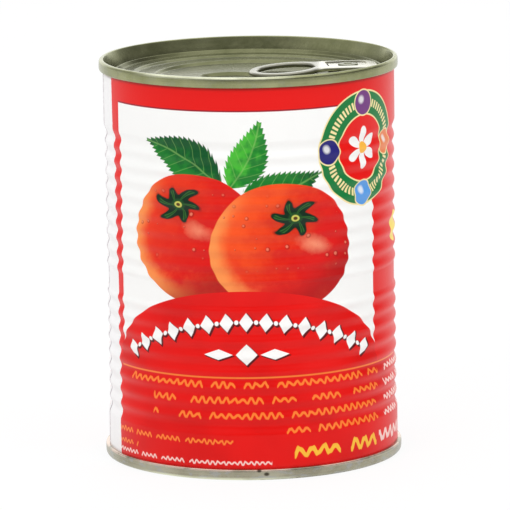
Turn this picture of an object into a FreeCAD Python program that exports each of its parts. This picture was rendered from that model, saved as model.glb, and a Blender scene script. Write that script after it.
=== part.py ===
import FreeCAD, Part
import math
import os

# Tin of tomato paste: a three-piece steel can with a beaded wall, a plain end seamed on
# below and a ring-pull end seamed on above. The can is shut and full, so its body is solid.
# Millimetres, +Z up. The origin is the centre of the base, in the plane that the lower
# seam stands on. The ring pull lies along +X, turned about +Z by tab_angle.
# "Depth" always counts from the crest of a seam into the can.

# The whole can
can_height = 115.9
body_diameter = 84.3
end_sheet = 0.25  # thickness of the steel of both ends
tightest_bend = 0.1  # least radius on the inner side of a bend in that steel

# Double seams, the same above and below
seam_height = 3.1
seam_stand_out = 1.13  # from the plain wall to the point of the seam's belly, before its rounding
seam_belly_depth = 1.7
seam_belly_radius = 8.0
seam_crest_lean = 0.18  # how far the seam's face leans in from its belly to its crest
seam_lip_lean = 0.12  # the same down to its lip
seam_shoulder_radius = 0.75
seam_lip_radius = 0.45
wall_edge_depth = 0.9  # where the wall's edge ends inside the seam

# Chuck wall and countersink, the same above and below
chuck_head_inset = 0.2  # from the plain wall to the head of the chuck wall
chuck_head_radius = 0.3
chuck_foot_inset = 1.8  # from the plain wall to the foot of the chuck wall
countersink_width = 1.0
countersink_radius = 0.45
panel_edge_slope = 0.3
panel_edge_radius = 0.5

# Beaded wall: two groups of beads with a plain band between them
beads_above = 9
beads_below = 8
first_groove_from_top = 20.9
last_groove_from_base = 15.5
band_between_ridges = 8.6
bead_depth = 0.6  # from the crest of a ridge to the bottom of a groove
bead_line_inset = 0.5  # from the plain wall to the middle of that depth
band_inset = 0.62  # from the plain wall to the plain band
bead_fullness = 0.98  # share of the flanks that the round crests and grooves take up
run_out_fullness = 0.95  # the same where the beads run out into a plain stretch

# Ring-pull end
lid_countersink_depth = 5.1
outer_panel_depth = 4.35
terrace_drop = 0.6
centre_drop = 0.9
outer_step_inset = 8.7  # from the plain wall to the top of the outer step
inner_step_inset = 15.0  # from the plain wall to the top of the inner step
step_run = 0.85
step_radius = 0.6
rim_rise = 1.0  # of the raised rim along the panel's edge
rim_foot_inset = 4.45  # from the plain wall to the inner foot of that rim
rim_run = 0.55
rim_radius = 0.25
score_inset = 5.1  # from the plain wall to the tear line
score_width = 0.35
score_depth = 0.12

# Ring pull
tab_angle = 6.0
tab_length = 37.5
tab_tip_gap = 1.5  # from the tip of the nose to the edge of the panel
tab_thickness = 1.35
tab_edge_radius = 0.58
ring_radius = 10.9
ring_rim = 2.6
neck_radius = 5.0
nose_half_width = 6.3
nose_corner_radius = 4.5
nose_rim = 1.5
nose_tip_rim = 3.0
pocket_depth = 0.35
pocket_gap = 0.5  # from the crease to the pocket
pocket_near_radius = 1.2
pocket_far_radius = 2.4
slot_width = 0.35
slot_half_width = 4.0
slot_corner_radius = 2.0
slot_gap = 0.3  # from the end of the pocket to the slot
crease_gap = 0.1  # from the end of the neck to the crease

# Rivet and the raised seat under it
rivet_from_tip = 8.5
rivet_radius = 2.0
rivet_play = 0.05
rivet_head_radius = 2.9
rivet_head_height = 0.3
rivet_dimple_radius = 1.3
rivet_dimple_depth = 0.15
seat_radius = 5.8
seat_edge_radius = 0.5

# Finger well under the end of the ring
well_radius = 9.4
well_depth = 0.95
well_overlap = 4.4  # how far the well reaches under the ring
well_wall_run = 0.9
well_edge_radius = 0.55

# Plain end
base_countersink_depth = 5.0
base_panel_depth = 4.3
base_ring_drop = 0.6
base_ring_outer_inset = 7.6
base_ring_inner_inset = 13.2

# What follows from the sizes above
wall_radius = body_diameter / 2
seam_radius = wall_radius + seam_stand_out
chuck_foot = wall_radius - chuck_foot_inset
panel_edge = chuck_foot - countersink_width - panel_edge_slope
centre_depth = outer_panel_depth + terrace_drop + centre_drop
tab_tip = panel_edge - tab_tip_gap
ring_end = tab_tip - tab_length
ring_centre = ring_end + ring_radius
tab_top_depth = outer_panel_depth - tab_thickness
rivet_place = tab_tip - rivet_from_tip
well_centre = ring_end + well_overlap - well_radius
well_floor_depth = centre_depth + well_depth
neck_end = ring_centre + math.sqrt(
    (ring_radius + neck_radius) ** 2 - (nose_half_width + neck_radius) ** 2
)
crease = neck_end + crease_gap
ring_pitch = math.degrees(math.atan2(centre_depth - outer_panel_depth, crease - ring_end))


def unit(start, end):
    """The unit vector from one (x, y) point to another."""
    across = end[0] - start[0]
    along = end[1] - start[1]
    length = math.hypot(across, along)
    return across / length, along / length


def rounded_edges(corners, place):
    """Edges round a closed outline of (a, b, radius) corners; place turns (a, b) into a point."""
    ends = []
    for i, (a, b, radius) in enumerate(corners):
        before = corners[i - 1]
        after = corners[(i + 1) % len(corners)]
        if radius == 0:
            ends.append(((a, b), None, (a, b)))
            continue
        arriving = unit(before, (a, b))
        leaving = unit((a, b), after)
        turn = math.acos(arriving[0] * leaving[0] + arriving[1] * leaving[1])
        reach = radius * math.tan(turn / 2)
        inward = unit(arriving, leaving)
        rise = radius / math.cos(turn / 2) - radius
        first = (a - arriving[0] * reach, b - arriving[1] * reach)
        middle = (a + inward[0] * rise, b + inward[1] * rise)
        last = (a + leaving[0] * reach, b + leaving[1] * reach)
        ends.append((first, middle, last))
    edges = []
    for i, (first, middle, last) in enumerate(ends):
        if middle:
            edges.append(Part.Arc(place(*first), place(*middle), place(*last)).toShape())
        start = place(*last)
        end = place(*ends[(i + 1) % len(ends)][0])
        if start.distanceToPoint(end) > 1e-6:
            edges.append(Part.LineSegment(start, end).toShape())
    return edges


def turned_solid(corners, place, centre=0):
    """A solid of revolution of an outline in (radius, height), about the vertical line at x = centre."""
    face = Part.Face(Part.Wire(rounded_edges(corners, place)))
    axis_point = FreeCAD.Vector(centre, 0, 0)
    solid = face.revolve(axis_point, FreeCAD.Vector(0, 0, 1), 360)
    return solid if solid.Volume > 0 else solid.reversed()


def from_base(radius, depth):
    return FreeCAD.Vector(radius, 0, depth)


def from_crest(radius, depth):
    return FreeCAD.Vector(radius, 0, can_height - depth)


def about(centre):
    """Places (radius, depth) of an outline that turns about the vertical line at x = centre, in the lid."""
    return lambda radius, depth: FreeCAD.Vector(centre + radius, 0, can_height - depth)


def sheet_underside(profile):
    """The far side of the sheet whose near side is this profile of (radius, depth, corner radius)."""
    shifted = []
    for i, (radius, depth, corner) in enumerate(profile):
        arriving = unit(profile[i - 1], profile[i]) if i else unit(profile[0], profile[1])
        leaving = unit(profile[i], profile[i + 1]) if i < len(profile) - 1 else arriving
        normal = (-arriving[1] - leaving[1], arriving[0] + leaving[0])
        scale = end_sheet * 2 / (normal[0] ** 2 + normal[1] ** 2)
        bend = arriving[0] * leaving[1] - arriving[1] * leaving[0]
        if corner:
            corner = max(corner - math.copysign(end_sheet, bend), tightest_bend)
        shifted.append((radius + normal[0] * scale, depth + normal[1] * scale, corner))
    return shifted


def end_profile(panel, countersink_depth):
    """Near side of an end, from its centre out to the head of the chuck wall."""
    panel_depth = panel[-1][1]
    return panel + [
        (panel_edge, panel_depth, panel_edge_radius),
        (panel_edge + panel_edge_slope, countersink_depth, countersink_radius),
        (chuck_foot, countersink_depth, countersink_radius),
        (wall_radius - chuck_head_inset, 0, chuck_head_radius),
    ]


def lid_profile():
    outer_step = wall_radius - outer_step_inset
    inner_step = wall_radius - inner_step_inset
    rim_foot = wall_radius - rim_foot_inset
    terrace_depth = outer_panel_depth + terrace_drop
    panel = [
        (0, centre_depth, 0),
        (inner_step - step_run, centre_depth, step_radius),
        (inner_step, terrace_depth, step_radius),
        (outer_step - step_run, terrace_depth, step_radius),
        (outer_step, outer_panel_depth, step_radius),
        (rim_foot, outer_panel_depth, rim_radius),
        (rim_foot + rim_run, outer_panel_depth - rim_rise, rim_radius),
    ]
    return end_profile(panel, lid_countersink_depth)


def base_profile():
    ring_outer = wall_radius - base_ring_outer_inset
    ring_inner = wall_radius - base_ring_inner_inset
    ring_depth = base_panel_depth + base_ring_drop
    panel = [
        (0, base_panel_depth, 0),
        (ring_inner - step_run, base_panel_depth, step_radius),
        (ring_inner, ring_depth, step_radius),
        (ring_outer, ring_depth, step_radius),
        (ring_outer + step_run, base_panel_depth, step_radius),
    ]
    return end_profile(panel, base_countersink_depth)


def inside_of_seam(profile):
    """Underside of an end, from its centre out to the level of the wall's edge inside the seam."""
    underside = sheet_underside(profile)
    foot, head = underside[-2], underside[-1]
    share = (wall_edge_depth - foot[1]) / (head[1] - foot[1])
    underside[-1] = (foot[0] + share * (head[0] - foot[0]), wall_edge_depth, 0)
    return underside


def end_outline(profile):
    """Closed outline of a formed end with its double seam."""
    seam = [
        (seam_radius - seam_crest_lean, 0, seam_shoulder_radius),
        (seam_radius, seam_belly_depth, seam_belly_radius),
        (seam_radius - seam_lip_lean, seam_height, seam_lip_radius),
        (wall_radius, seam_height, 0),
        (wall_radius, wall_edge_depth, 0),
    ]
    return profile + seam + inside_of_seam(profile)[::-1]


def bead_corners():
    """The beaded wall's corners, from the lowest bead to the highest."""
    waves = beads_above + beads_below - 1
    free_height = can_height - first_groove_from_top - last_groove_from_base - band_between_ridges
    pitch = free_height / waves
    slope = 2 * math.atan2(bead_depth / 2, pitch / 4)
    line = wall_radius - bead_line_inset
    apex = pitch / 4 * math.tan(slope)
    radius = bead_fullness * pitch / 4 / math.sin(slope)

    def beads(lowest_groove, count, ridge_above):
        """Corners of one group, in which each groove has its ridge above it or below it."""
        corners = []
        for i in range(count):
            groove = (line - apex, lowest_groove + i * pitch, radius)
            if ridge_above:
                corners += [groove, (line + apex, lowest_groove + (i + 0.5) * pitch, radius)]
            else:
                corners += [(line + apex, lowest_groove + (i - 0.5) * pitch, radius), groove]
        return corners

    def run_out(groove_or_ridge, level, upward):
        """Where the flank past the last groove or ridge reaches the level of a plain stretch."""
        drop = abs(level - line)
        height = pitch / 4 + drop / math.tan(slope)
        corner = run_out_fullness * drop / math.sin(slope) / math.tan(slope / 2)
        return (level, groove_or_ridge + (height if upward else -height), corner)

    band = wall_radius - band_inset
    lower_group = beads(last_groove_from_base, beads_below, True)
    highest_groove = can_height - first_groove_from_top
    upper_group = beads(highest_groove - (beads_above - 1) * pitch, beads_above, False)
    return (
        [run_out(last_groove_from_base, wall_radius, False)]
        + lower_group
        + [run_out(lower_group[-1][1], band, True), run_out(upper_group[0][1], band, False)]
        + upper_group
        + [run_out(highest_groove, wall_radius, True)]
    )


def full_body():
    """The filled body before the finger well is pressed into the end above it."""
    lower = inside_of_seam(base_profile())
    upper = [(radius, can_height - depth, bend) for radius, depth, bend in inside_of_seam(lid_profile())]
    lower_edge = (wall_radius, wall_edge_depth, 0)
    upper_edge = (wall_radius, can_height - wall_edge_depth, 0)
    outline = lower + [lower_edge] + bead_corners() + [upper_edge] + upper[::-1]
    return turned_solid(outline, from_base)


def along_tab(shape):
    """Turns what was built along +X to the direction of the ring pull."""
    shape.rotate(FreeCAD.Vector(0, 0, 0), FreeCAD.Vector(0, 0, 1), tab_angle)
    return shape


def well_profile():
    """Near side of the finger well, from outside its edge in to its centre."""
    outside = well_radius + 2 * well_edge_radius
    return [
        (outside, centre_depth, 0),
        (well_radius, centre_depth, well_edge_radius),
        (well_radius - well_wall_run, well_floor_depth, well_edge_radius),
        (0, well_floor_depth, 0),
    ]


def well_space():
    """The air in the finger well, with a little above it."""
    profile = well_profile()
    above = centre_depth - end_sheet
    cover = [(0, above, 0), (profile[0][0], above, 0)]
    return along_tab(turned_solid(cover + profile, about(well_centre), well_centre))


def well_shell():
    """The finger well pushed down by the sheet's thickness; it starts inside the sheet."""
    under = sheet_underside(well_profile()[::-1])
    inside = centre_depth + end_sheet / 2
    cover = [(under[-1][0], inside, 0), (0, inside, 0)]
    return along_tab(turned_solid(under + cover, about(well_centre), well_centre))


def rivet_seat(body):
    """The raised seat of the rivet, as deep as the sheet under it."""
    outline = [
        (0, outer_panel_depth, 0),
        (seat_radius, outer_panel_depth, seat_edge_radius),
        (seat_radius, centre_depth + end_sheet, 0),
        (0, centre_depth + end_sheet, 0),
    ]
    return along_tab(turned_solid(outline, about(rivet_place), rivet_place)).cut(body)


def rivet():
    """The rivet that the end's own steel forms: a post through the pull, with its head on top."""
    web_top = outer_panel_depth - tab_thickness + pocket_depth
    head_top = web_top - rivet_head_height
    outline = [
        (0, head_top + rivet_dimple_depth, 0),
        (rivet_dimple_radius - rivet_dimple_depth, head_top + rivet_dimple_depth, 0),
        (rivet_dimple_radius, head_top, 0),
        (rivet_head_radius, head_top, rivet_head_height / 2),
        (rivet_head_radius, web_top, 0),
        (rivet_radius, web_top, 0),
        (rivet_radius, outer_panel_depth + end_sheet / 2, 0),
        (0, outer_panel_depth + end_sheet / 2, 0),
    ]
    return along_tab(turned_solid(outline, about(rivet_place), rivet_place))


def score():
    """The V-shaped tear line, as a ring to cut away."""
    middle = wall_radius - score_inset
    outline = [
        (middle - score_width, outer_panel_depth - score_depth, 0),
        (middle + score_width, outer_panel_depth - score_depth, 0),
        (middle, outer_panel_depth + score_depth, 0),
    ]
    return turned_solid(outline, from_crest)


def make_body():
    return full_body().cut(well_shell())


def make_lid():
    sheet = turned_solid(end_outline(lid_profile()), from_crest)
    pressed = sheet.fuse(well_shell()).cut(well_space()).cut(score())
    return pressed.fuse([rivet_seat(full_body()), rivet()]).removeSplitter()


def make_base_end():
    return turned_solid(end_outline(base_profile()), from_base)


def tab_outline():
    """The ring pull seen from above: a round ring, a neck on each side and a blunt nose."""

    def at(x, y):
        return FreeCAD.Vector(x, y, 0)

    def arc(centre, radius, first, last):
        angles = [math.radians(first), math.radians((first + last) / 2), math.radians(last)]
        points = [at(centre[0] + radius * math.cos(a), centre[1] + radius * math.sin(a)) for a in angles]
        return Part.Arc(*points).toShape()

    neck_centre = (neck_end, nose_half_width + neck_radius)
    lean = math.degrees(math.atan2(neck_centre[1], neck_end - ring_centre))
    corner_x = tab_tip - nose_corner_radius
    corner_y = nose_half_width - nose_corner_radius
    upper_side = [
        arc(neck_centre, neck_radius, 180 + lean, 270),
        Part.LineSegment(at(neck_end, nose_half_width), at(corner_x, nose_half_width)).toShape(),
        arc((corner_x, corner_y), nose_corner_radius, 90, 0),
    ]
    lower_side = [edge.mirror(at(0, 0), at(0, 1)) for edge in upper_side]
    ring = arc((ring_centre, 0), ring_radius, lean, 360 - lean)
    front = Part.LineSegment(at(tab_tip, corner_y), at(tab_tip, -corner_y)).toShape()
    loose = [ring, front] + upper_side + lower_side
    return Part.Wire(Part.__sortEdges__(loose))


def rounded_slab(start, end, half_width, start_radius, end_radius, low, high):
    """A flat slab between two depths, along +X from start to end, with rounded corners."""
    corners = [
        (start, -half_width, start_radius),
        (end, -half_width, end_radius),
        (end, half_width, end_radius),
        (start, half_width, start_radius),
    ]
    bottom = can_height - low
    edges = rounded_edges(corners, lambda x, y: FreeCAD.Vector(x, y, bottom))
    return Part.Face(Part.Wire(edges)).extrude(FreeCAD.Vector(0, 0, low - high))


def tab_plate():
    """The whole pull laid flat, with the finger hole and every edge rolled round."""
    underside = can_height - outer_panel_depth
    face = Part.Face(tab_outline())
    face.translate(FreeCAD.Vector(0, 0, underside))
    plate = face.extrude(FreeCAD.Vector(0, 0, tab_thickness))
    if plate.Volume < 0:
        plate = plate.reversed()
    hole_foot = FreeCAD.Vector(ring_centre, 0, underside)
    plate = plate.cut(Part.makeCylinder(ring_radius - ring_rim, tab_thickness, hole_foot))
    level = [edge for edge in plate.Edges if edge.BoundBox.ZLength < 1e-6]
    return plate.makeFillet(tab_edge_radius, level)


def nose_cuts():
    """What is pressed or cut into the nose: its pocket, the slot round the tongue and the rivet's hole."""
    clear = tab_thickness
    above = tab_top_depth - clear
    below = outer_panel_depth + clear
    pocket_start = crease + pocket_gap
    pocket_end = tab_tip - nose_tip_rim
    pocket_side = nose_half_width - nose_rim
    web_depth = tab_top_depth + pocket_depth
    pocket = rounded_slab(
        pocket_start, pocket_end, pocket_side, pocket_near_radius, pocket_far_radius, web_depth, above
    )
    slot_start = pocket_start + slot_gap
    outer = rounded_slab(slot_start, rivet_place, slot_half_width, slot_corner_radius, 0, below, above)
    tongue = rounded_slab(
        slot_start + slot_width,
        rivet_place + clear,
        slot_half_width - slot_width,
        slot_corner_radius - slot_width,
        0,
        below + clear,
        above - clear,
    )
    hole = Part.makeCylinder(
        rivet_radius + rivet_play, below - above, FreeCAD.Vector(rivet_place, 0, can_height - below)
    )
    return [pocket, outer.cut(tongue), hole]


def ring_side(hinge, tilt):
    """The space on the ring's side of the crease, its end leaning about the crease by tilt degrees."""
    reach = 2 * tab_length
    corner = FreeCAD.Vector(hinge.x - reach, -ring_radius - reach, hinge.z - reach)
    space = Part.makeBox(reach, 2 * (ring_radius + reach), 2 * reach, corner)
    space.rotate(hinge, FreeCAD.Vector(0, 1, 0), tilt)
    return space


def make_tab():
    """The ring pull: flat from its crease to its nose, with the ring bent down to the finger well."""
    plate = tab_plate()
    hinge = FreeCAD.Vector(crease, 0, can_height - tab_top_depth)
    ring = plate.common(ring_side(hinge, ring_pitch / 2))
    ring.rotate(hinge, FreeCAD.Vector(0, 1, 0), -ring_pitch)
    nose = plate.cut(ring_side(hinge, -ring_pitch / 2)).cut(nose_cuts())
    return along_tab(ring.fuse(nose).removeSplitter())


def only_solid(shape):
    """The one solid that a piece consists of."""
    if len(shape.Solids) != 1:
        raise ValueError("a piece fell into %d solids" % len(shape.Solids))
    return shape.Solids[0]


pieces = {
    "body": make_body(),
    "lid": make_lid(),
    "tab": make_tab(),
    "base_end": make_base_end(),
}
os.makedirs("parts", exist_ok=True)
for name, shape in pieces.items():
    only_solid(shape).exportStep("parts/%s.step" % name)
    print(name, round(shape.Volume), "mm3", len(shape.Faces), "faces", shape.isValid())
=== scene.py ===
"""The looks of a tin of tomato paste: printed wall, lacquered ends and ring pull, on a pale floor.

Lengths are millimetres up to the point where they become Blender's metres (MM). On the wall,
"across" is the way along its curve from the front, and "up" is the height above the floor.
"""

import math

import bpy
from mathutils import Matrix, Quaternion, Vector


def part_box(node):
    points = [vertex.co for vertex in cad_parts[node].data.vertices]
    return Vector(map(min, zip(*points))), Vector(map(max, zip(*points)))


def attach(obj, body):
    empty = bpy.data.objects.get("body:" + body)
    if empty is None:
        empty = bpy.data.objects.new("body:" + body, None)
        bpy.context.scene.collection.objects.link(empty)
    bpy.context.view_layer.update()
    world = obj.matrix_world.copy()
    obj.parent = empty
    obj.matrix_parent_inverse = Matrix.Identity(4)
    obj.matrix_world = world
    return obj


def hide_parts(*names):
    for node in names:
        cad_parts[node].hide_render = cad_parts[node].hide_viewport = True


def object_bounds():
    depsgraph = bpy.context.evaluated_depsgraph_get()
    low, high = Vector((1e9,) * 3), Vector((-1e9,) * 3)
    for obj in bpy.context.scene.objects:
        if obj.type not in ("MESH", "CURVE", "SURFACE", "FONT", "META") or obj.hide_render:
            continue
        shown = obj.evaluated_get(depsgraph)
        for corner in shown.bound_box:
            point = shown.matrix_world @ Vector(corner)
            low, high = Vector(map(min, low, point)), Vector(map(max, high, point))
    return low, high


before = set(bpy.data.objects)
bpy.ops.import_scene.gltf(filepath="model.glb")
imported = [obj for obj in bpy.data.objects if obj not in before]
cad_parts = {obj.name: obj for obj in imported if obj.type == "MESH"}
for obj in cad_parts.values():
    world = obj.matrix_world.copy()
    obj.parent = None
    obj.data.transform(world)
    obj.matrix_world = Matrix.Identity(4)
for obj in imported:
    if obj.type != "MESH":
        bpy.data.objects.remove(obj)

CAD_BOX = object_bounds()
MM = 0.001

# Sizes of the can, from the frame and as in the part's source
CAN_HEIGHT = CAD_BOX[1].z / MM
WALL_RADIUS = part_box("body")[1].x / MM
SEAM_HEIGHT = 3.1
WALL_EDGE = 0.9  # where the wall's edge ends inside each seam
GROOVE_RADIUS = WALL_RADIUS - 0.8
RIDGE_RADIUS = WALL_RADIUS - 0.2
BAND_RADIUS = WALL_RADIUS - 0.62  # the plain band between the two groups of beads
LOWEST_GROOVE = 15.5
HIGHEST_GROOVE = CAN_HEIGHT - 20.9
BEADS_BELOW = 8
BEADS_ABOVE = 9
BAND_BETWEEN_RIDGES = 8.6
BEAD_PITCH = (HIGHEST_GROOVE - LOWEST_GROOVE - BAND_BETWEEN_RIDGES) / (BEADS_BELOW + BEADS_ABOVE - 1)
RUN_OUT = 2.9  # height in which the last groove runs out into the plain wall
BAND_RUN_OUT = 1.55  # the same from the last ridge to the plain band
CAP_RADIUS = 41.0  # the hidden ends of the wall's mesh, inside the can's two ends
CAP_DEPTH = 7.4
BASE_CAP_DEPTH = 5.7

# The welded side seam, with the bare margin of the print round it. Angles are degrees from the front.
WELD_ANGLE = -82.6
WELD_HEIGHT = 0.07
WELD_HALF_WIDTH = 0.5
MARGIN_START = -91
MARGIN_END = -65.3  # at the base; the margin narrows upwards by MARGIN_LEAN degrees a millimetre
MARGIN_LEAN = 0.031

# The print repeats after this many degrees, so that the can has the same front and back
PRINT_PERIOD = 170
PRINT_START = -76


def linear(red, green, blue):
    """A colour given as on a screen, 0 to 255, in Blender's linear numbers."""
    found = []
    for level in (red, green, blue):
        level /= 255
        curved = ((level + 0.055) / 1.055) ** 2.4
        found.append(curved if level > 0.04045 else level / 12.92)
    return (*found, 1)


# ---------------------------------------------------------------- arithmetic with nodes


class Field:
    """A number that varies over a surface: a node's output, with arithmetic that adds Math nodes."""

    def __init__(self, tree, socket):
        self.tree = tree
        self.socket = socket

    def math(self, operation, *others, clamp=False):
        """The outcome of a Math node, whose first input is this field."""
        node = self.tree.nodes.new("ShaderNodeMath")
        node.operation = operation
        node.use_clamp = clamp
        for slot, value in zip(node.inputs, (self, *others)):
            if isinstance(value, Field):
                self.tree.links.new(value.socket, slot)
            else:
                slot.default_value = value
        return Field(self.tree, node.outputs[0])

    def __add__(self, other):
        return self.math("ADD", other)

    def __sub__(self, other):
        return self.math("SUBTRACT", other)

    def __rsub__(self, other):
        return self.math("MULTIPLY_ADD", -1, other)

    def __mul__(self, other):
        return self.math("MULTIPLY", other)

    def __truediv__(self, other):
        return self.math("DIVIDE", other)

    def __neg__(self):
        return self.math("MULTIPLY", -1)

    def __abs__(self):
        return self.math("ABSOLUTE")

    def power(self, exponent):
        """This to the power of an exponent."""
        return self.math("POWER", exponent)

    def sine(self):
        """The sine of this angle in radians."""
        return self.math("SINE")

    def least(self, other):
        """The smaller of the two."""
        return self.math("MINIMUM", other)

    def most(self, other):
        """The larger of the two."""
        return self.math("MAXIMUM", other)

    def whole(self):
        """The whole number at or below this."""
        return self.math("FLOOR")

    def part(self):
        """What this is above that whole number."""
        return self.math("FRACT")

    def within(self, low, high):
        """1 between two values and 0 outside them."""
        return self.math("GREATER_THAN", low) * self.math("LESS_THAN", high)

    def rise(self, low, high):
        """0 below low, 1 above high, with a smooth way up between them."""
        node = self.tree.nodes.new("ShaderNodeMapRange")
        node.interpolation_type = "SMOOTHSTEP"
        self.tree.links.new(self.socket, node.inputs["Value"])
        node.inputs["From Min"].default_value = low
        node.inputs["From Max"].default_value = high
        return Field(self.tree, node.outputs["Result"])

    def fall(self, low, high):
        """1 below low, 0 above high, with a smooth way down between them."""
        return (-self).rise(-high, -low)


def length_of(a, b):
    """The length of the vector (a, b)."""
    return (a * a + b * b).math("SQRT")


def angle_of(across, up):
    """The direction of (across, up), in radians."""
    return up.math("ARCTAN2", across)


def combine(tree, *parts):
    """A vector of fields and plain numbers."""
    node = tree.nodes.new("ShaderNodeCombineXYZ")
    for slot, value in zip(node.inputs, parts):
        if isinstance(value, Field):
            tree.links.new(value.socket, slot)
        else:
            slot.default_value = value
    return node.outputs[0]


def noise(tree, place, scale, detail=2.0, roughness=0.5, distortion=0.0):
    """Soft noise about 0.5 at a place given by a vector socket.

    Where one part of the place is a plain number, it only picks one of many like patterns.
    """
    node = tree.nodes.new("ShaderNodeTexNoise")
    tree.links.new(place, node.inputs["Vector"])
    node.inputs["Scale"].default_value = scale
    node.inputs["Detail"].default_value = detail
    node.inputs["Roughness"].default_value = roughness
    node.inputs["Distortion"].default_value = distortion
    return Field(tree, node.outputs["Fac"])


def white_noise(tree, place):
    """A different number from 0 to 1 for each place."""
    node = tree.nodes.new("ShaderNodeTexWhiteNoise")
    tree.links.new(place, node.inputs["Vector"])
    return Field(tree, node.outputs["Value"])


def mixed(tree, share, below, above):
    """Colour socket of above laid over below by a share. Either may be a colour or a socket."""
    node = tree.nodes.new("ShaderNodeMix")
    node.data_type = "RGBA"
    for name, value in (("Factor", share.socket), ("A", below), ("B", above)):
        slot = next(s for s in node.inputs if s.name == name and s.enabled)
        if isinstance(value, tuple):
            slot.default_value = value
        else:
            tree.links.new(value, slot)
    return next(s for s in node.outputs if s.enabled)


def place_in_mm(tree):
    """x, y and z of the surface in the can's own frame, in millimetres."""
    coordinates = tree.nodes.new("ShaderNodeTexCoord")
    split = tree.nodes.new("ShaderNodeSeparateXYZ")
    tree.links.new(coordinates.outputs["Object"], split.inputs[0])
    return [Field(tree, socket) * (1 / MM) for socket in split.outputs]


def new_material(name):
    """A material with its node tree and its Principled shader."""
    material = bpy.data.materials.new(name)
    material.use_nodes = True
    return material, material.node_tree, material.node_tree.nodes["Principled BSDF"]


def add_bump(tree, shader, height, distance, strength=1.0):
    """Relief of a height field from 0 to 1 that stands distance millimetres high."""
    bump = tree.nodes.new("ShaderNodeBump")
    bump.inputs["Strength"].default_value = strength
    bump.inputs["Distance"].default_value = distance * MM
    tree.links.new(height.socket, bump.inputs["Height"])
    tree.links.new(bump.outputs["Normal"], shader.inputs["Normal"])


# ---------------------------------------------------------------- the print

INK_EDGE = 0.16  # softness of the edges of the print
SOFT_EDGE = 0.3  # the same in its pictures

RED = linear(234, 14, 9)
DEEP_RED = linear(220, 10, 7)
WINE = linear(150, 24, 40)
MAROON = linear(96, 14, 18)
PAPER_WHITE = linear(252, 252, 250)
ORANGE_INK = linear(252, 132, 52)
YELLOW_INK = linear(255, 196, 62)
LEMON = linear(255, 224, 70)
PALE_INK = linear(255, 214, 206)
CREAM = linear(250, 232, 170)
BADGE_GREEN = linear(18, 124, 60)
LEAF_DARK = linear(8, 84, 38)
LEAF_MIDDLE = linear(28, 128, 44)
LEAF_LIGHT = linear(74, 186, 56)
LEAF_VEIN = linear(150, 205, 110)
SKIN_SCARLET = linear(238, 58, 26)
SKIN_ORANGE = linear(250, 88, 34)
SKIN_RED = linear(222, 18, 14)
SKIN_BLUSH = linear(250, 96, 52)
SKIN_RIM = linear(255, 158, 84)
SKIN_SHADE = linear(168, 8, 12)
SKIN_HOLLOW = linear(150, 10, 12)
SKIN_SHINE = linear(255, 178, 138)
DROP_SHADE = linear(140, 10, 14)
DROP_GLINT = linear(255, 150, 118)
CROWN_SHADE = linear(120, 8, 10)
CROWN_DARK = linear(12, 44, 26)
CROWN_MIDDLE = linear(34, 88, 38)
CROWN_VEIN = linear(66, 134, 52)
STALK_PALE = linear(206, 206, 96)
STALK_BROWN = linear(92, 60, 24)
BARE_WHITE = linear(250, 249, 249)
WELD_PALE = linear(196, 180, 190)
WELD_DARK = linear(112, 86, 100)
SEAM_SHADOW_BROWN = linear(120, 22, 14)


class Print:
    """The print on the wall: inks laid one over another on a surface measured across and up."""

    def __init__(self, tree, across, up, ground):
        self.tree = tree
        self.across = across
        self.up = up
        self.ink = ground

    def lay(self, share, colour):
        """Lays a colour or a colour socket where share is 1."""
        self.ink = mixed(self.tree, share, self.ink, colour)

    def at(self, across, up):
        """This surface measured from another point."""
        return self.across - across, self.up - up


def inside(distance, edge=INK_EDGE):
    """1 inside a shape, whose signed distance in millimetres is below 0 there."""
    return (distance * (-1 / edge)).math("ADD", 0.5, clamp=True)


def disc(across, up, radius):
    """Distance to a disc."""
    return length_of(across, up) - radius


def box(across, up, half_width, half_height):
    """Distance to a rectangle."""
    return (abs(across) - half_width).most(abs(up) - half_height)


def lozenge(across, up, half_width, half_height):
    """About the distance to a lozenge, close enough at its edge for the softness of a print."""
    return (abs(across) / half_width + abs(up) / half_height - 1) * (half_width * 0.8)


def arc_across(degrees):
    """Millimetres across the print at an angle from the front."""
    return math.radians(degrees) * WALL_RADIUS


DEGREE = arc_across(1)

PANEL_LEFT = arc_across(-62.3)
PANEL_RIGHT = arc_across(57.1)
PANEL_TOP = 106
PANEL_LINE_HEIGHT = 0.4
DOME_ACROSS = -2.2
DOME_FOOT = 30
DOME_HALF_WIDTH = 45.4
DOME_HEIGHT = 24.5


def dome_distance(label):
    """About the distance to the red dome that closes the white panel below."""
    across, up = label.at(DOME_ACROSS, DOME_FOOT)
    ratio = length_of(across / DOME_HALF_WIDTH, up / DOME_HEIGHT)
    return (ratio - 1) * DOME_HEIGHT


def lay_panel(label):
    """The white panel, with the thin dark line where it meets the red band above."""
    middle = (PANEL_LEFT + PANEL_RIGHT) / 2
    half = (PANEL_RIGHT - PANEL_LEFT) / 2
    across, up = label.at(middle, PANEL_TOP / 2)
    label.lay(inside(box(across, up, half, PANEL_TOP / 2)), PAPER_WHITE)
    across, up = label.at(middle, PANEL_TOP + PANEL_LINE_HEIGHT / 2)
    label.lay(inside(box(across, up, half, PANEL_LINE_HEIGHT / 2)), WINE)


def lay_dome(label):
    """The red field below the white panel, rounded at its top."""
    below = inside(label.up - DOME_FOOT)
    share = inside(dome_distance(label)).most(below)
    tint = noise(label.tree, combine(label.tree, label.across, label.up, 0), 0.05, 2)
    label.lay(share, mixed(label.tree, tint.rise(0.35, 0.7), RED, DEEP_RED))


LEAF_BOW = 0.08  # how far a leaf bows sideways, as a share of its length
LEAF_BELLY = 0.75  # below 1, so that a leaf is broadest nearer its foot
TEETH = 0.62  # a millimetre along the leaf
TOOTH_DEPTH = 0.9
VEINS = 0.3  # a millimetre along the leaf
VEIN_REACH = 0.16  # how far a vein's colour goes from its middle


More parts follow.
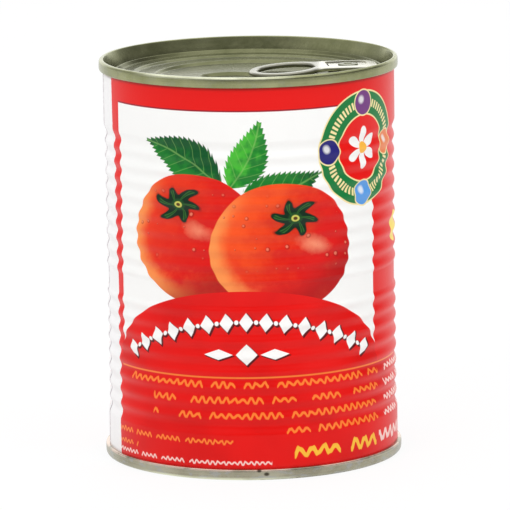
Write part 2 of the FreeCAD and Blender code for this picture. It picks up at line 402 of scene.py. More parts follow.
def leaf(label, foot, tip, half_width, light, dark):
    """A leaf with a toothed edge, a midrib and side veins, from its foot to its tip."""
    length = math.dist(foot, tip)
    along_x = (tip[0] - foot[0]) / length
    along_y = (tip[1] - foot[1]) / length
    across, up = label.at(*foot)
    along = across * along_x + up * along_y
    side = up * along_x - across * along_y
    side = side + (along * (math.pi / length)).sine() * (LEAF_BOW * length)
    share = (along / length).math("ADD", 0, clamp=True)
    belly = (share.power(LEAF_BELLY) * math.pi).sine()
    tooth = (along * TEETH - abs(side) * 0.25).part()
    edge = belly * half_width + tooth * TOOTH_DEPTH - 0.6
    to_vein = ((along - abs(side) * 0.9) * VEINS).math("PINGPONG", 0.5)
    rib = abs(side).least(to_vein * 3.0 + 0.12)
    grain = noise(label.tree, combine(label.tree, label.across, label.up, 0), 0.35, 4)
    body = mixed(label.tree, (grain + side * 0.06).rise(0.3, 0.75), dark, light)
    body = mixed(label.tree, inside(rib - VEIN_REACH, 0.4) * 0.55, body, LEAF_VEIN)
    label.lay(inside(abs(side) - edge, SOFT_EDGE) * along.within(0, length), body)


LOBES = 5  # a tomato's outline swells this often, by LOBE_SWELL of its size
LOBE_SWELL = 0.012
CROWN_REACH = 0.38  # of a tomato's half height, from the stalk to a point of the crown
CROWN_POINTS = 6
DROP_PITCH = 3.1  # there is one drop, at most, in each square of this size
DROP_SOFTNESS = 0.25


def tomato(label, centre, half_width, half_height, warm, crown_at):
    """A ripe tomato, seen with its crown, which stands at crown_at from its centre."""
    across, up = label.at(*centre)
    x = across / half_width
    y = up / half_height
    swell = (angle_of(across, up) * LOBES + 0.6).sine() * LOBE_SWELL
    ratio = length_of(x, y) + swell
    patches = noise(label.tree, combine(label.tree, label.across, label.up, 3), 0.11, 4, 0.6)
    skin = ripe_skin(label.tree, x, y, ratio, patches, warm)
    crown = (centre[0] + crown_at[0], centre[1] + crown_at[1])
    skin = stalk_hollow(label, skin, crown, half_height)
    shine_x = (across - crown_at[0] - half_width * 0.32) / (half_width * 0.36)
    shine_y = (up - half_height * 0.14 + across * 0.2) / (half_height * 0.2)
    shine = inside(length_of(shine_x, shine_y) + patches * 1.4 - 1.05, 0.9)
    skin = mixed(label.tree, shine * 0.62, skin, SKIN_SHINE)
    skin = lay_drops(label, skin, y)
    label.lay(inside((ratio - 1) * half_height, 0.22), skin)
    lay_crown(label, crown, half_height * CROWN_REACH)


def ripe_skin(tree, x, y, ratio, patches, warm):
    """Skin that is warm at its lit upper left and deep red below, with a pale rim at the left."""
    ripe = (x * 0.5 - y * 0.3 + patches * 0.9).rise(-0.15, 0.7)
    skin = mixed(tree, ripe, warm, SKIN_RED)
    blush = (patches - y * 0.2).rise(0.62, 0.8)
    skin = mixed(tree, blush * 0.35, skin, SKIN_BLUSH)
    rim = (ratio + patches * 0.25).rise(0.84, 1.1) * (x * -0.8 - y * 0.35).rise(-0.05, 0.6)
    skin = mixed(tree, rim * 0.85, skin, SKIN_RIM)
    shade = (x * 0.5 - y * 0.85 + ratio * 0.35 + patches * 0.3).rise(0.7, 1.3)
    return mixed(tree, shade * 0.75, skin, SKIN_SHADE)


def stalk_hollow(label, skin, crown, half_height):
    """Skin that darkens softly round the crown, where it dips to the stalk."""
    across, up = label.at(*crown)
    hollow = inside(length_of(across / 1.5, up) - half_height * 0.2, half_height * 0.3)
    return mixed(label.tree, hollow * 0.5, skin, SKIN_HOLLOW)


def lay_drops(label, skin, y):
    """Skin with small drops of water on its upper half, each dark at its foot with a light point."""
    tree = label.tree
    column = (label.across / DROP_PITCH).whole()
    row = (label.up / DROP_PITCH).whole()
    chance = white_noise(tree, combine(tree, column, row, 4.5))
    shift = white_noise(tree, combine(tree, column, row, 8.5)) * (0.3 * DROP_PITCH)
    across = label.across - (column + 0.35) * DROP_PITCH - shift
    up = label.up - (row + 0.65) * DROP_PITCH + shift
    radius = chance * 2.9 - 2.0  # below 0 in most squares, which stay without a drop
    present = y.rise(-0.45, -0.1) * y.fall(0.5, 0.9)
    drop = inside(disc(across, up, radius), DROP_SOFTNESS) * present
    skin = mixed(tree, drop * 0.45, skin, DROP_SHADE)
    glint = inside(disc(across + 0.12, up - 0.1, radius * 0.55), DROP_SOFTNESS) * present
    return mixed(tree, glint * 0.6, skin, DROP_GLINT)


def lay_crown(label, centre, reach):
    """The dark green crown of a tomato, its points bent, with the cut stalk in the middle."""
    tree = label.tree
    across, up = label.at(*centre)
    up = up * 1.3
    out = length_of(across, up)
    direction = angle_of(across, up) + out * 0.07
    point = ((direction * CROWN_POINTS).sine() * 0.5 + 0.5).power(1.1)
    uneven = noise(tree, combine(tree, across * 0.1, up * 0.1, centre[0]), 1.5, 2) * 0.7 + 0.65
    limit = (point * (reach * 0.52) + reach * 0.54) * uneven
    label.lay(inside(out - limit - 0.35, 0.8) * 0.6, CROWN_SHADE)
    label.lay(inside(out - limit, SOFT_EDGE), CROWN_DARK)
    vein = inside(abs(point - 0.93) * 8 - 0.35, 0.6) * inside(out - limit * 0.85, 0.5)
    label.lay(vein * 0.7, CROWN_VEIN)
    label.lay(inside(out - reach * 0.3, 0.5) * 0.6, CROWN_MIDDLE)
    label.lay(inside(out - reach * 0.17, SOFT_EDGE), STALK_PALE)
    label.lay(inside(out - reach * 0.09, 0.25), STALK_BROWN)


def lay_produce(label):
    """Three leaves and two tomatoes, of which the right one stands in front."""
    leaf(label, (-8, 84), (-33, 97), 6.4, LEAF_MIDDLE, LEAF_DARK)
    leaf(label, (-6, 84), (3, 104), 5.6, LEAF_LIGHT, LEAF_MIDDLE)
    tomato(label, (-17.5, 69.5), 20, 18.5, SKIN_SCARLET, (-4, 9.5))
    leaf(label, (-2, 83), (22, 88), 5.2, LEAF_MIDDLE, LEAF_DARK)
    tomato(label, (9.5, 66.5), 21.5, 18.8, SKIN_ORANGE, (3.5, 8.6))


GARLAND_RADIUS = 76.4  # of the arch, whose middle stands at GARLAND_TOP
GARLAND_TOP = 45.6
GARLAND_ACROSS = DOME_ACROSS + 0.5
GARLAND_HALF_ANGLE = 32.2
GARLAND_COUNT = 15
GARLAND_STEP = math.radians(2 * GARLAND_HALF_ANGLE / GARLAND_COUNT)
GARLAND_DOT = 0.62
THREE_UP = 36.2  # height of the three larger lozenges
THREE_APART = 8.2
SHADOW_SHIFT = 0.38


def arch(label, shift):
    """Distance to the arch's lozenges and the dots between them, and 1 along the length of the arch."""
    across, up = label.at(GARLAND_ACROSS + shift, GARLAND_TOP - GARLAND_RADIUS - shift)
    out = length_of(across, up) - GARLAND_RADIUS
    turn = across.math("ARCTAN2", up)
    along_arch = inside(abs(turn) - GARLAND_STEP * (GARLAND_COUNT / 2 - 0.25), 0.002)
    cell = turn / GARLAND_STEP
    pitch = GARLAND_STEP * GARLAND_RADIUS
    from_lozenge = ((cell + 0.5).part() - 0.5) * pitch
    from_dot = (cell.part() - 0.5) * pitch
    shape = lozenge(from_lozenge, out, 2.05, 2.75).least(disc(from_dot, out, GARLAND_DOT))
    return shape, along_arch


def three_lozenges(label, shift):
    """Distance to a tall lozenge with a flat one on each side."""
    across, up = label.at(GARLAND_ACROSS + shift, THREE_UP - shift)
    side = abs(across) - THREE_APART
    return lozenge(across, up, 3.1, 3.1).least(lozenge(side, up, 4.2, 1.5))


def lay_garland(label):
    """The arch along the dome and three lozenges below it, over a slightly larger shadow of each."""
    shadow, along_arch = arch(label, SHADOW_SHIFT)
    label.lay(inside(shadow - 0.22) * along_arch, MAROON)
    label.lay(inside(three_lozenges(label, SHADOW_SHIFT) - 0.2), MAROON)
    shape, along_arch = arch(label, 0)
    label.lay(inside(shape) * along_arch, PAPER_WHITE)
    label.lay(inside(three_lozenges(label, 0)), PAPER_WHITE)


GAPS = 0.16  # share of the waves that are left out
STROKE_REACH = 0.14  # half a line's thickness, as a share of its row's height


def strokes(label, low, wave, tall, rows=1, pitch=9):
    """Rows of plain wavy line in groups, which stand where a can has small print.

    The lowest row's foot is at low, wave is the length of one wave, and tall the height of a row.
    """
    tree = label.tree
    row = ((label.up - low) / pitch).whole()
    up = label.up - low - row * pitch - tall / 2
    turns = label.across / wave + row * 0.37
    chance = white_noise(tree, combine(tree, turns.whole(), row, 1.5))
    shown = chance.math("GREATER_THAN", GAPS) * row.within(-0.5, rows - 0.5)
    unrest = noise(tree, combine(tree, turns, row, 7.5), 1.3, 0).rise(0.35, 0.65)
    swing = unrest * (tall * 0.15) + tall * 0.13
    phase = turns * (2 * math.pi) - math.pi / 2
    line = up - phase.sine() * swing
    slope = phase.math("COSINE") * swing * (2 * math.pi / wave)
    away = abs(line) / (slope * slope + 1).math("SQRT")
    return inside(away - tall * STROKE_REACH, 0.2) * shown


# Single rows: foot, length of a wave, height, first and last degree from the front, ink
SINGLE_ROWS = (
    (9.9, 1.7, 2.0, -66, -8, ORANGE_INK),
    (6.5, 1.7, 1.8, -66, -52, ORANGE_INK),
    (4.0, 1.6, 1.7, -66, 7, PALE_INK),
    (5.2, 3.8, 4.6, 16, 57, YELLOW_INK),
    (5.2, 3.8, 4.6, 59, 86, PALE_INK),
)


def between(label, first, last):
    """1 from one place across the print to another, and 0 beyond them."""
    return inside(first - label.across) * inside(label.across - last)


def lay_small_print(label):
    """Four long rows under a thin line, orange at the front and pale at the side, and single rows."""
    across, up = label.at(arc_across(8), 29.5)
    label.lay(inside(box(across, up, arc_across(72), 0.26)), ORANGE_INK)
    rows = strokes(label, 12.6, 2.4, 2.5, rows=4, pitch=4.53)
    # The lowest row starts at 13 degrees, the second and third at -43, the highest at -57
    from_second = label.up.rise(16.8, 17.4)
    from_fourth = label.up.rise(25.6, 26.2)
    first = from_second * arc_across(-56) + from_fourth * arc_across(-14) + arc_across(13)
    label.lay(rows * between(label, first, arc_across(59)), ORANGE_INK)
    label.lay(rows * between(label, arc_across(64.5), arc_across(92)), PALE_INK)
    for low, wave, tall, start, end, colour in SINGLE_ROWS:
        share = between(label, arc_across(start), arc_across(end))
        label.lay(strokes(label, low, wave, tall) * share, colour)


BADGE_ACROSS = arc_across(50.5)
BADGE_UP = 93.0
BADGE_RADIUS = 16.6
BADGE_HEART = 9.4  # radius of its red centre
BADGE_LINE = 0.45  # width of the cream lines round it and round its centre
BADGE_RING = 13  # radius of the middle of its ring, with the dashes and the discs
BADGE_DASHES = 64
BADGE_DISC = 3.5
DISC_TINTS = (linear(240, 128, 60), linear(118, 60, 130), linear(38, 34, 120), linear(92, 160, 232))
PETALS = 6
FLOWER_HEART = 1.7
HONEY = linear(255, 190, 70)
SPOT_ACROSS = arc_across(80.8)
SPOT_UP = 66.9
SPOT_RADIUS = 4.5


def lay_badge(label):
    """A green ring about a red centre, with four coloured discs on it and a plain flower inside."""
    across, up = label.at(BADGE_ACROSS, BADGE_UP)
    out = length_of(across, up)
    around = angle_of(across, up)
    label.lay(inside(out - BADGE_RADIUS), CREAM)
    label.lay(inside(out - BADGE_RADIUS + BADGE_LINE), BADGE_GREEN)
    lay_dashes(label, out, around)
    label.lay(inside(out - BADGE_HEART - BADGE_LINE), CREAM)
    label.lay(inside(out - BADGE_HEART), RED)
    petals = abs((around * (PETALS / 2)).sine()).power(0.7) * 5.6 + 0.6
    label.lay(inside(out - petals, SOFT_EDGE), PAPER_WHITE)
    label.lay(inside(out - FLOWER_HEART), HONEY)
    for quarter, tint in enumerate(DISC_TINTS):
        lay_badge_disc(label, math.radians(90 * quarter), tint)


def lay_dashes(label, out, around):
    """Cream dashes round the badge's ring, in the four stretches between its discs."""
    beside = ((around * (BADGE_DASHES / (2 * math.pi))).part() - 0.5) * 1.3
    dashes = inside(abs(beside) - 0.36, 0.2) * inside(abs(out - BADGE_RING) - 1.1)
    between_discs = abs((around * 2).sine()).rise(0.55, 0.6)
    label.lay(dashes * between_discs, CREAM)


def lay_badge_disc(label, angle, tint):
    """A tinted disc with a cream edge and a soft light point, at an angle on the badge's ring."""
    middle = (BADGE_ACROSS + BADGE_RING * math.cos(angle), BADGE_UP + BADGE_RING * math.sin(angle))
    across, up = label.at(*middle)
    label.lay(inside(disc(across, up, BADGE_DISC + 0.4)), CREAM)
    label.lay(inside(disc(across, up, BADGE_DISC)), tint)
    glint = inside(disc(across + 0.9, up - 0.9, 1.1), 0.8)
    label.lay(glint * 0.75, PAPER_WHITE)


def lay_yellow_spot(label):
    """A plain yellow disc on the red field, near the right edge as seen from the front."""
    across, up = label.at(SPOT_ACROSS, SPOT_UP)
    label.lay(inside(disc(across, up, SPOT_RADIUS)), LEMON)


RAGGED = 0.7  # degrees over which the edges of the bare margin wander
MARGIN_EDGE = 0.35  # their softness, in degrees
WELD_LINE_REACH = 0.38
WELD_HALO_REACH = 0.9


def lay_weld(tree, ink, angle, up):
    """The bare white margin round the side seam, with the broken grey line of its weld."""
    wander = noise(tree, combine(tree, 0, 0, up), 0.9, 2) * RAGGED - RAGGED / 2
    start = angle + wander - MARGIN_START
    end = angle + wander + up * MARGIN_LEAN - MARGIN_END
    margin = inside(-start, MARGIN_EDGE) * inside(end, MARGIN_EDGE)
    ink = mixed(tree, margin, ink, BARE_WHITE)
    away = abs(angle - WELD_ANGLE) * DEGREE
    broken = noise(tree, combine(tree, 5, 0, up), 0.55, 3).rise(0.36, 0.5)
    ink = mixed(tree, inside(away - WELD_HALO_REACH, 0.6) * 0.45, ink, WELD_PALE)
    return mixed(tree, inside(away - WELD_LINE_REACH, SOFT_EDGE) * broken * 0.95, ink, WELD_DARK)


def painted_seam_shadow(up):
    """Up to 1 where painted shadow darkens the print under the lid's seam and 0.3 beside the base's, 0
    away from them.
    """
    lid_seam = CAN_HEIGHT - SEAM_HEIGHT
    below_lid = up.rise(lid_seam - 1.1, lid_seam - 0.1)
    above_base = up.fall(SEAM_HEIGHT, SEAM_HEIGHT + 0.8)
    return below_lid.most(above_base * 0.3)


def print_material():
    """Glossy lacquered print on tinplate, with painted shadow beside the seams."""
    material, tree, shader = new_material("printed_tinplate")
    x, y, up = place_in_mm(tree)
    angle = x.math("ARCTAN2", -y) * (180 / math.pi)
    from_start = (angle - PRINT_START).math("WRAP", 360, 0)
    turned = from_start.math("WRAP", PRINT_PERIOD, 0) + PRINT_START
    label = Print(tree, turned * DEGREE, up, RED)
    lay_panel(label)
    lay_produce(label)
    lay_dome(label)
    lay_garland(label)
    lay_small_print(label)
    lay_badge(label)
    lay_yellow_spot(label)
    ink = lay_weld(tree, label.ink, angle, up)
    # painted shadow: the print darkens to brown-red under the lid's seam and beside the base's
    ink = mixed(tree, painted_seam_shadow(up) * 0.6, ink, SEAM_SHADOW_BROWN)
    tree.links.new(ink, shader.inputs["Base Color"])
    peel = noise(tree, combine(tree, x, y, up), 1.1, 3)
    tree.links.new((peel * 0.1 + 0.27).socket, shader.inputs["Roughness"])
    shader.inputs["Specular IOR Level"].default_value = 0.22
    add_bump(tree, shader, peel, distance=0.03, strength=0.6)
    return material


# ---------------------------------------------------------------- steel

LID_PALE = linear(164, 166, 126)
LID_DARK = linear(138, 141, 102)
BASE_PALE = linear(176, 173, 152)
BASE_DARK = linear(148, 144, 124)
PULL_GLARE_PALE = linear(240, 239, 228)
PULL_GLARE_DARK = linear(214, 212, 196)
RING_SHADE_GREY = linear(112, 112, 92)
MOTTLE_GREY = linear(164, 168, 172)
LIP_HIGHLIGHT_PINK = linear(240, 212, 196)
NICK_BROWN = linear(52, 44, 34)
CREST_HIGHLIGHT_PALE = linear(222, 224, 196)
BLACK = (0, 0, 0, 1)

RING_END = 20.5  # where the ring of the pull ends and its nose begins, along x
CREST_X = -0.26  # the way the painted highlight on the seams faces: 15 degrees left of the front
CREST_Y = -0.966
RECESS_DEPTH = 3.2  # depth from which on the recesses of the ends are fully shaded
RECESS_SHADE = 0.4
SEAM_WIDTH = 1.0  # width over which the seams' scratches take the place of the rolled grain


def from_middle(z):
    """How far a place lies above or below the middle of the can's height."""
    return abs(z - CAN_HEIGHT / 2)


def painted_crest_highlight(tree, x, y, z, out):
    """Up to 1, unevenly, on the front left of the seams' crests: a painted highlight where the photo
    has a bright line.
    """
    high = from_middle(z).rise(CAN_HEIGHT / 2 - 1.0, CAN_HEIGHT / 2 - 0.3)
    patchy = noise(tree, combine(tree, x, y, 11), 0.1, 3).rise(0.3, 0.6) * 0.4 + 0.6
    facing = (y * CREST_Y + x * CREST_X).rise(WALL_RADIUS * 0.82, WALL_RADIUS * 0.97)
    return high * patchy * facing * out.rise(WALL_RADIUS - 0.6, WALL_RADIUS - 0.2)


def painted_lip_highlight(tree, x, y, z, out):
    """1 along a painted pink highlight on the upper edge of the base seam, broken here and there."""
    patchy = noise(tree, combine(tree, x, y, 23), 0.12, 3).rise(0.35, 0.55)
    edge = z.rise(SEAM_HEIGHT - 0.75, SEAM_HEIGHT - 0.35) * z.fall(SEAM_HEIGHT, SEAM_HEIGHT + 0.3)
    return edge * patchy * out.rise(WALL_RADIUS - 0.3, WALL_RADIUS)


def nick(x, z, place_x, place_z, radius, softness):
    """1 in a small oval, half as wide again as it is high."""
    return inside(disc((x - place_x) / 1.5, z - place_z, radius), softness)


def nicks(x, y, z):
    """0.9 in the two small nicks at the front of the base seam."""
    large = nick(x, z, 3.5, 1.8, 0.5, 0.35)
    small = nick(x, z, 1.4, 2.8, 0.42, 0.3)
    return large.most(small) * (-y).math("GREATER_THAN", 0) * 0.9


def inside_recess(z, out):
    """1 on the panels inside the two ends, which are darker in the photo and get painted shade, 0 on
    the seams.
    """
    deep = from_middle(z).fall(CAN_HEIGHT / 2 - RECESS_DEPTH, CAN_HEIGHT / 2 - RECESS_DEPTH + 1.0)
    return deep * out.fall(WALL_RADIUS - 1.8, WALL_RADIUS - 0.8)


def steel_material(name, pale, dark, roughness, grain_angle, recess_shade=RECESS_SHADE):
    """Lacquered tinplate: rolled grain, soft stains and fine scratches, marks on its seams, painted
    shade in the recesses and painted highlights on the seams.
    """
    material, tree, shader = new_material(name)
    x, y, z = place_in_mm(tree)
    out = length_of(x, y)
    stains = noise(tree, combine(tree, x, y, z), 0.09, 4, 0.6)
    seam = out.rise(WALL_RADIUS - SEAM_WIDTH, WALL_RADIUS)
    scratches = scratches_round(tree, x, y, z, out)
    texture = scratches * seam + rolled_grain(tree, x, y, z, grain_angle) * (-seam + 1)
    colour = mixed(tree, (stains * 0.7 + texture * 0.3).rise(0.35, 0.65), dark, pale)
    # painted shade: the recessed panels of the ends are darkened towards black
    colour = mixed(tree, inside_recess(z, out) * recess_shade, colour, BLACK)
    mottle = noise(tree, combine(tree, x, y, z * 2), 0.35, 3).rise(0.5, 0.66)
    low = z.fall(SEAM_HEIGHT, 2 * SEAM_HEIGHT)
    colour = mixed(tree, mottle * seam * (low * 0.4 + 0.1), colour, MOTTLE_GREY)
    # painted highlight: a pale pink line, like a reflection of the red wall, on the base seam's upper
    # edge
    colour = mixed(tree, painted_lip_highlight(tree, x, y, z, out) * 0.65, colour, LIP_HIGHLIGHT_PINK)
    colour = mixed(tree, nicks(x, y, z), colour, NICK_BROWN)
    # painted highlight: a pale line on the front left of the seams' crests
    colour = mixed(tree, painted_crest_highlight(tree, x, y, z, out), colour, CREST_HIGHLIGHT_PALE)
    tree.links.new(colour, shader.inputs["Base Color"])
    shader.inputs["Metallic"].default_value = 1.0
    rough = texture * 0.16 + stains * 0.1 + (roughness - 0.13)
    tree.links.new(rough.socket, shader.inputs["Roughness"])
    add_bump(tree, shader, texture, distance=0.02, strength=0.5)
    return material


def rolled_grain(tree, x, y, z, grain_angle):
    """The fine straight grain of rolled sheet, at an angle in degrees."""
    turn = math.radians(grain_angle)
    along = x * math.cos(turn) + y * math.sin(turn)
    beside = y * math.cos(turn) - x * math.sin(turn)
    return noise(tree, combine(tree, along * 0.03, beside * 1.6, z), 1.0, 3, 0.6)


def scratches_round(tree, x, y, z, out):
    """Scratches that run round the can, as on its seams."""
    around = angle_of(x, y)
    return noise(tree, combine(tree, around * 1.5, out * 2.2, z * 2.2), 1.0, 3, 0.6)


def pull_material():
    """Steel as bright as the photo's glare on the nose, a painted highlight, and greyer on the ring, a
    painted shade.
    """
    material = steel_material("pull_steel", PULL_GLARE_PALE, PULL_GLARE_DARK, 0.2, grain_angle=6, recess_shade=0)
    tree = material.node_tree
    shader = tree.nodes["Principled BSDF"]
    steel = shader.inputs["Base Color"].links[0].from_socket
    # painted shade: the ring is greyer than the nose, though both are the same steel
    ring = place_in_mm(tree)[0].fall(RING_END - 1, RING_END + 1)
    tree.links.new(mixed(tree, ring * 0.72, steel, RING_SHADE_GREY), shader.inputs["Base Color"])
    return material


def dress_nodes():
    """Gives the ends and the ring pull their steel."""
    materials = {
        "lid": steel_material("lacquered_lid", LID_PALE, LID_DARK, 0.24, grain_angle=20),
        "base_end": steel_material("lacquered_base", BASE_PALE, BASE_DARK, 0.28, grain_angle=-50),
        "tab": pull_material(),
    }
    for node, material in materials.items():
        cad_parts[node].material_slots[0].material = material


# ---------------------------------------------------------------- meshes


SHARP_FROM = 50  # degrees between two faces from which on their edge isn't smoothed


def wall_levels():
    """(height, radius) of the places between which the wall swells or narrows, from below."""
    levels = [(WALL_EDGE, WALL_RADIUS), (LOWEST_GROOVE - RUN_OUT, WALL_RADIUS)]
    for i in range(BEADS_BELOW):
        groove = LOWEST_GROOVE + i * BEAD_PITCH
        levels += [(groove, GROOVE_RADIUS), (groove + BEAD_PITCH / 2, RIDGE_RADIUS)]
    last_ridge = levels[-1][0]
    first_ridge = last_ridge + BAND_BETWEEN_RIDGES
    levels.append((last_ridge + BAND_RUN_OUT, BAND_RADIUS))
    levels.append((first_ridge - BAND_RUN_OUT, BAND_RADIUS))
    for i in range(BEADS_ABOVE):
        ridge = first_ridge + i * BEAD_PITCH
        levels += [(ridge, RIDGE_RADIUS), (ridge + BEAD_PITCH / 2, GROOVE_RADIUS)]
    levels.append((HIGHEST_GROOVE + RUN_OUT, WALL_RADIUS))
    levels.append((CAN_HEIGHT - WALL_EDGE, WALL_RADIUS))
    return levels


def wall_profile(steps=7):
    """(height, radius) up the wall, swelling and narrowing between its levels as a cosine does."""
    levels = wall_levels()
    profile = [levels[0]]
    for (low, start), (high, end) in zip(levels, levels[1:]):
        count = 1 if start == end else steps
        for i in range(1, count + 1):
            share = i / count
            swell = (1 - math.cos(math.pi * share)) / 2
            profile.append((low + (high - low) * share, start + (end - start) * swell))
    return profile


def wall_columns(count=256, close_step=0.3):
    """Angles round the wall from the weld, closer together over it."""
    close = [i * close_step for i in range(-4, 5)]
    reach = close[-1]
    spread = [reach + (360 - 2 * reach) * i / count for i in range(1, count)]
    return [WELD_ANGLE + angle for angle in close + spread]


def weld_rise(degrees):
    """How far the weld stands out at an angle from its middle."""
    away = arc_across(degrees) / WELD_HALF_WIDTH
    return WELD_HEIGHT * math.exp(-away * away)


def wall_vertices(rings, columns):
    """The wall's corners, ring by ring, and at last the middles of its two hidden ends."""
    vertices = []
    for height, radius in rings:
        for angle in columns:
            proud = weld_rise(angle - WELD_ANGLE) if radius > CAP_RADIUS else 0
            turn = math.radians(angle)
            across = (radius + proud) * math.sin(turn)
            deep = -(radius + proud) * math.cos(turn)
            vertices.append((across * MM, deep * MM, height * MM))
    for height in (rings[0][0], rings[-1][0]):
        vertices.append((0, 0, height * MM))
    return vertices


def wall_faces(rings, columns):
    """The wall's faces by the numbers of their corners, and the places of those on the flat map."""
    around = len(columns)
    last = (len(rings) - 1) * around
    base_middle = len(rings) * around
    faces = []
    places = []
    for ring in range(len(rings) - 1):
        low, high = ring * around, (ring + 1) * around
        for column in range(around):
            after = (column + 1) % around
            faces.append((low + column, low + after, high + after, high + column))
            places.append(wall_places(ring, column, rings, columns))
    for column in range(around):
        after = (column + 1) % around
        here, there = columns[column], columns[after]
        faces.append((after, column, base_middle))
        places.append(cap_places(there, here, BASE_CAP_MIDDLE))
        faces.append((last + column, last + after, base_middle + 1))
        places.append(cap_places(here, there, TOP_CAP_MIDDLE))
    return faces, places


def make_wall():
    """The wall with its beads and weld, closed above and below where the ends hide it."""
    columns = wall_columns()
    base_cap = (BASE_CAP_DEPTH, CAP_RADIUS)
    top_cap = (CAN_HEIGHT - CAP_DEPTH, CAP_RADIUS)
    rings = [base_cap, *wall_profile(), top_cap]
    faces, places = wall_faces(rings, columns)
    mesh = bpy.data.meshes.new("wall")
    mesh.from_pydata(wall_vertices(rings, columns), [], faces)
    layer = mesh.uv_layers.new(name="OFBake")
    for polygon, corners in zip(mesh.polygons, places):
        for loop, place in zip(polygon.loop_indices, corners):
            layer.data[loop].uv = place
    mesh.shade_smooth()
    mesh.set_sharp_from_angle(angle=math.radians(SHARP_FROM))
    wall = bpy.data.objects.new("wall", mesh)
    bpy.context.collection.objects.link(wall)
    return wall


# The flat map, a unit square: the front half of the wall is a strip above that of the back half,
# and the hidden ends are small discs above both
STRIP_START = 0.01
STRIP_LENGTH = 0.98
STRIP_HEIGHT = 0.45
FRONT_STRIP = 0.48
BACK_STRIP = 0.01
STRIP_EDGE = 0.02  # share of a strip's height for the hidden face at its edge
CAP_ON_MAP = 0.03
CAPS_UP = 0.96
BASE_CAP_MIDDLE = 0.1
TOP_CAP_MIDDLE = 0.3


def wall_places(ring, column, rings, columns):
    """Places on the flat map of a face's four corners."""
    half = len(columns) // 2
    middle = columns[half]
    end = columns[0] + 360
    if column < half:
        left, right, foot = columns[0], middle, FRONT_STRIP
    else:
        left, right, foot = middle, end, BACK_STRIP
    here = columns[column]
    after = columns[column + 1] if column + 1 < len(columns) else end
    across = [STRIP_START + STRIP_LENGTH * (angle - left) / (right - left) for angle in (here, after)]
    up = [foot + STRIP_HEIGHT * height_share(rings, ring + i) for i in (0, 1)]
    return [(across[0], up[0]), (across[1], up[0]), (across[1], up[1]), (across[0], up[1])]


def height_share(rings, ring):
    """How far up its strip of the map a ring of the wall lies."""
    if ring == 0:
        return 0
    if ring == len(rings) - 1:
        return 1
    low = rings[1][0]
    high = rings[-2][0]
    return STRIP_EDGE + (1 - 2 * STRIP_EDGE) * (rings[ring][0] - low) / (high - low)


def cap_places(first, second, middle):
    """Places on the flat map of a slice of a hidden end, between two angles."""
    found = []
    for degrees in (first, second):
        turn = math.radians(degrees)
        found.append((middle + CAP_ON_MAP * math.cos(turn), CAPS_UP + CAP_ON_MAP * math.sin(turn)))
    return found + [(middle, CAPS_UP)]


# ---------------------------------------------------------------- studio


CAMERA_DISTANCE = 1.48  # metres
CAMERA_ELEVATION = math.radians(10.4)
CAMERA_ROLL = math.radians(0.869)
CAMERA_LENS = 358.9
CAMERA_SHIFT = (0.0078, -0.0036)
FLOOR_RADIUS = 8.0  # metres
FLOOR_CORNERS = 64
FLOOR_GLOW = 1.03
FLOOR_GLOW_SHARE = 0.86  # the rest shows the can's shadow
WORLD_STRENGTH = 0.25  # all round; these come to it from beyond the can, its left and overhead
BEYOND_STRENGTH = 1.2
LEFT_STRENGTH = 0.4
OVERHEAD_STRENGTH = 1.0


def make_camera():
    """The camera at the photograph's viewing angle, far off with a long lens."""
    middle = Vector((0, 0, CAN_HEIGHT / 2 * MM))
    away = Vector((0, -math.cos(CAMERA_ELEVATION), math.sin(CAMERA_ELEVATION)))
    offset = away * CAMERA_DISTANCE
    data = bpy.data.cameras.new("camera")
    data.lens = CAMERA_LENS
    data.sensor_width = 36
    data.shift_x, data.shift_y = CAMERA_SHIFT
    data.clip_end = 20
    camera = bpy.data.objects.new("camera", data)
    camera.location = middle + offset
    camera.rotation_mode = "QUATERNION"
    aim = (-offset).to_track_quat("-Z", "Y")
    camera.rotation_quaternion = aim @ Quaternion((0, 0, 1), -CAMERA_ROLL)
    bpy.context.collection.objects.link(camera)
    bpy.context.scene.camera = camera
    bpy.context.scene.view_settings.view_transform = "Standard"


def make_floor():
    """A large pale floor that the camera and reflections see as nearly white, with the can's shadow."""
    corners = []
    for i in range(FLOOR_CORNERS):
        turn = 2 * math.pi * i / FLOOR_CORNERS
        corners.append((FLOOR_RADIUS * math.cos(turn), FLOOR_RADIUS * math.sin(turn), CAD_BOX[0].z))
    mesh = bpy.data.meshes.new("floor")
    mesh.from_pydata(corners, [], [tuple(range(FLOOR_CORNERS))])
    floor = bpy.data.objects.new("floor", mesh)
    bpy.context.collection.objects.link(floor)
    material, tree, shader = new_material("floor_white")
    shader.inputs["Base Color"].default_value = (0.8, 0.8, 0.8, 1)
    shader.inputs["Roughness"].default_value = 0.9
    shader.inputs["Specular IOR Level"].default_value = 0.1
    glow = tree.nodes.new("ShaderNodeEmission")
    glow.inputs["Strength"].default_value = FLOOR_GLOW
    seen = seen_by_camera(tree) * FLOOR_GLOW_SHARE
    blend = tree.nodes.new("ShaderNodeMixShader")
    tree.links.new(seen.socket, blend.inputs[0])
    tree.links.new(shader.outputs[0], blend.inputs[1])
    tree.links.new(glow.outputs[0], blend.inputs[2])
    tree.links.new(blend.outputs[0], tree.nodes["Material Output"].inputs["Surface"])
    mesh.materials.append(material)


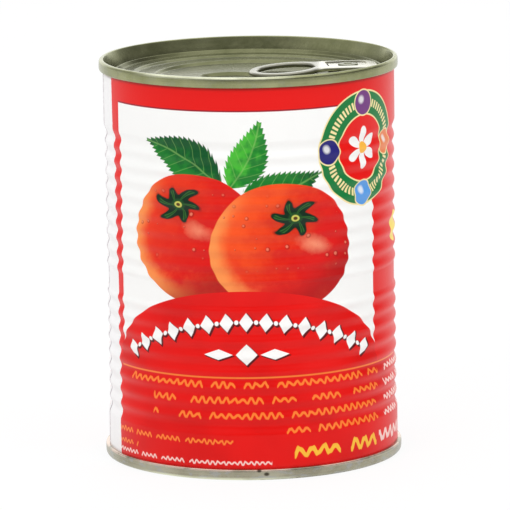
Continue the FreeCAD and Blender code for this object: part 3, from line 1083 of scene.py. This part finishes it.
def seen_by_camera(tree):
    """1 for what the camera sees, also in gloss and through glass."""
    path = tree.nodes.new("ShaderNodeLightPath")
    seen = Field(tree, path.outputs["Is Camera Ray"])
    seen = seen.most(Field(tree, path.outputs["Is Glossy Ray"]))
    return seen.most(Field(tree, path.outputs["Is Transmission Ray"]))


def make_world():
    """Soft light from all round: dimmer behind the camera, brighter beyond the can and overhead.

    The generated coordinates of a world are the direction of view.
    """
    world = bpy.data.worlds.new("studio")
    bpy.context.scene.world = world
    world.use_nodes = True
    tree = world.node_tree
    coordinates = tree.nodes.new("ShaderNodeTexCoord")
    split = tree.nodes.new("ShaderNodeSeparateXYZ")
    tree.links.new(coordinates.outputs["Generated"], split.inputs[0])
    x, y, z = [Field(tree, socket) for socket in split.outputs]
    beyond = y.rise(0.5, 0.95) * BEYOND_STRENGTH
    left = (-x).rise(0.3, 0.95) * LEFT_STRENGTH
    overhead = z.rise(0.42, 0.8) * OVERHEAD_STRENGTH
    strength = beyond.most(left).most(overhead) + WORLD_STRENGTH
    background = tree.nodes["Background"]
    tree.links.new(strength.socket, background.inputs["Strength"])
    background.inputs["Color"].default_value = (1, 1, 1, 1)


def add_softbox(name, place, size, power):
    """A square lamp that faces the can and isn't seen in its gloss."""
    data = bpy.data.lights.new(name, "AREA")
    data.shape = "SQUARE"
    data.size = size
    data.energy = power
    lamp = bpy.data.objects.new(name, data)
    lamp.visible_glossy = False
    lamp.location = place
    aim = Vector((0, 0, CAN_HEIGHT / 2 * MM)) - Vector(place)
    lamp.rotation_mode = "QUATERNION"
    lamp.rotation_quaternion = aim.to_track_quat("-Z", "Y")
    bpy.context.collection.objects.link(lamp)


def write_size():
    """Brings the view layer up to date."""
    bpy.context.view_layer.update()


make_camera()
make_floor()
make_world()
add_softbox("key", (-0.8, -1.3, 1.0), size=0.9, power=7.5)
add_softbox("fill", (1.3, -0.8, 0.6), size=1.0, power=6)
wall = make_wall()
wall.data.materials.append(print_material())
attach(wall, "root")
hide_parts("body")
dress_nodes()
write_size()
